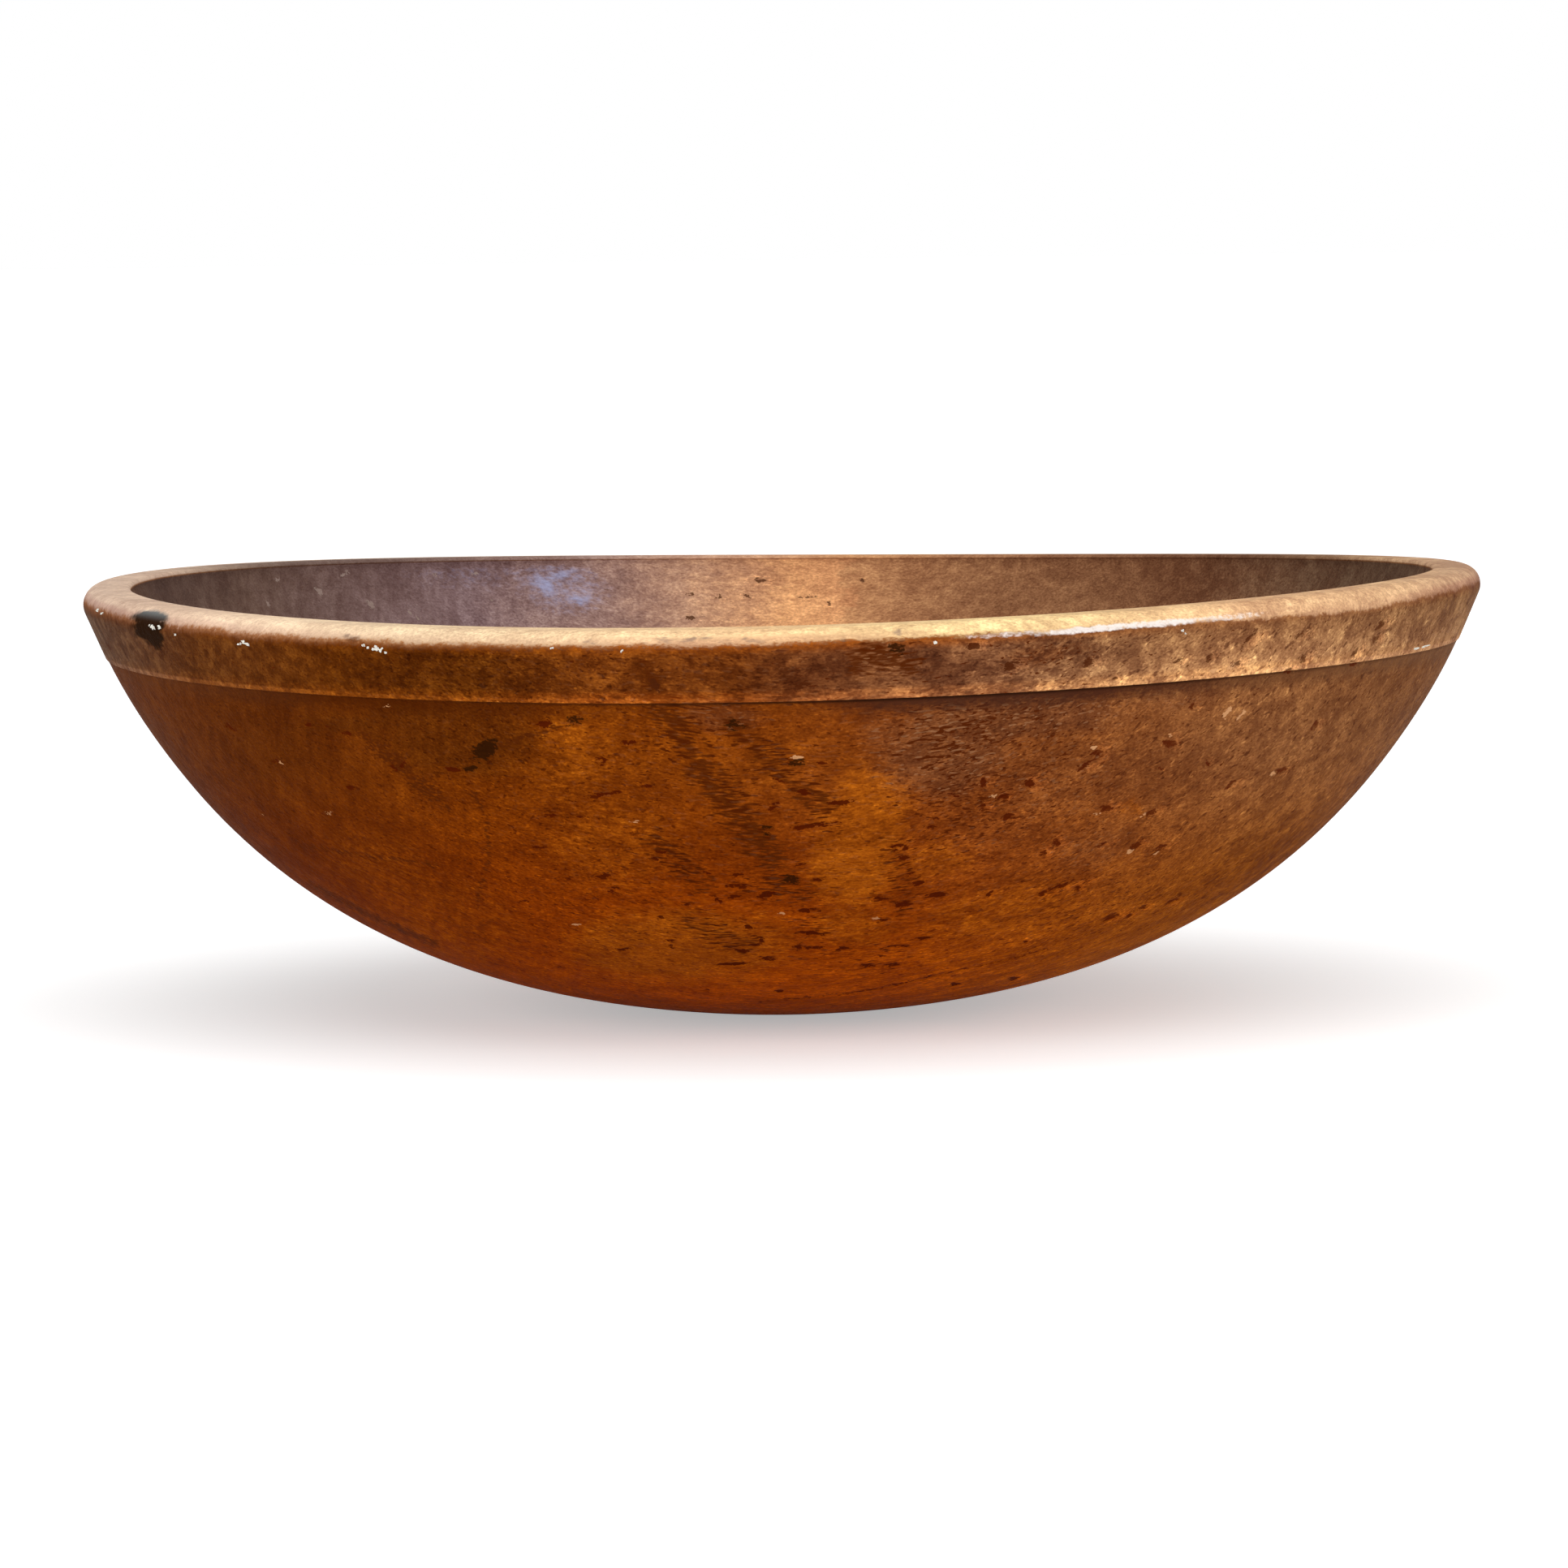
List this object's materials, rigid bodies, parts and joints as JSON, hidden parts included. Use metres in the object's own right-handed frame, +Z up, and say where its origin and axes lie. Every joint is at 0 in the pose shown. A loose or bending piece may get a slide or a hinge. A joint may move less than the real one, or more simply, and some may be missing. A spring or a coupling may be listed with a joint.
{
  "type": "salad bowl",
  "caption": "Round one-piece turned wooden salad bowl with a full belly, small flat foot, thick rounded rim and a raised band under it.",
  "frame": {"origin": "middle of the flat foot, on the surface that the bowl stands on", "axes": "+Z up through the middle of the bowl, +X along the grain, which is the wider way across the rim, +Y across the grain"},
  "size_m": [0.432, 0.426, 0.1352],
  "materials": {
    "waxed_wood": "old hand-rubbed wax on brown hardwood, satin, brighter where the rim is worn"
  },
  "bodies": {
    "root": {"bowl": "waxed_wood"}
  },
  "joints": []
}
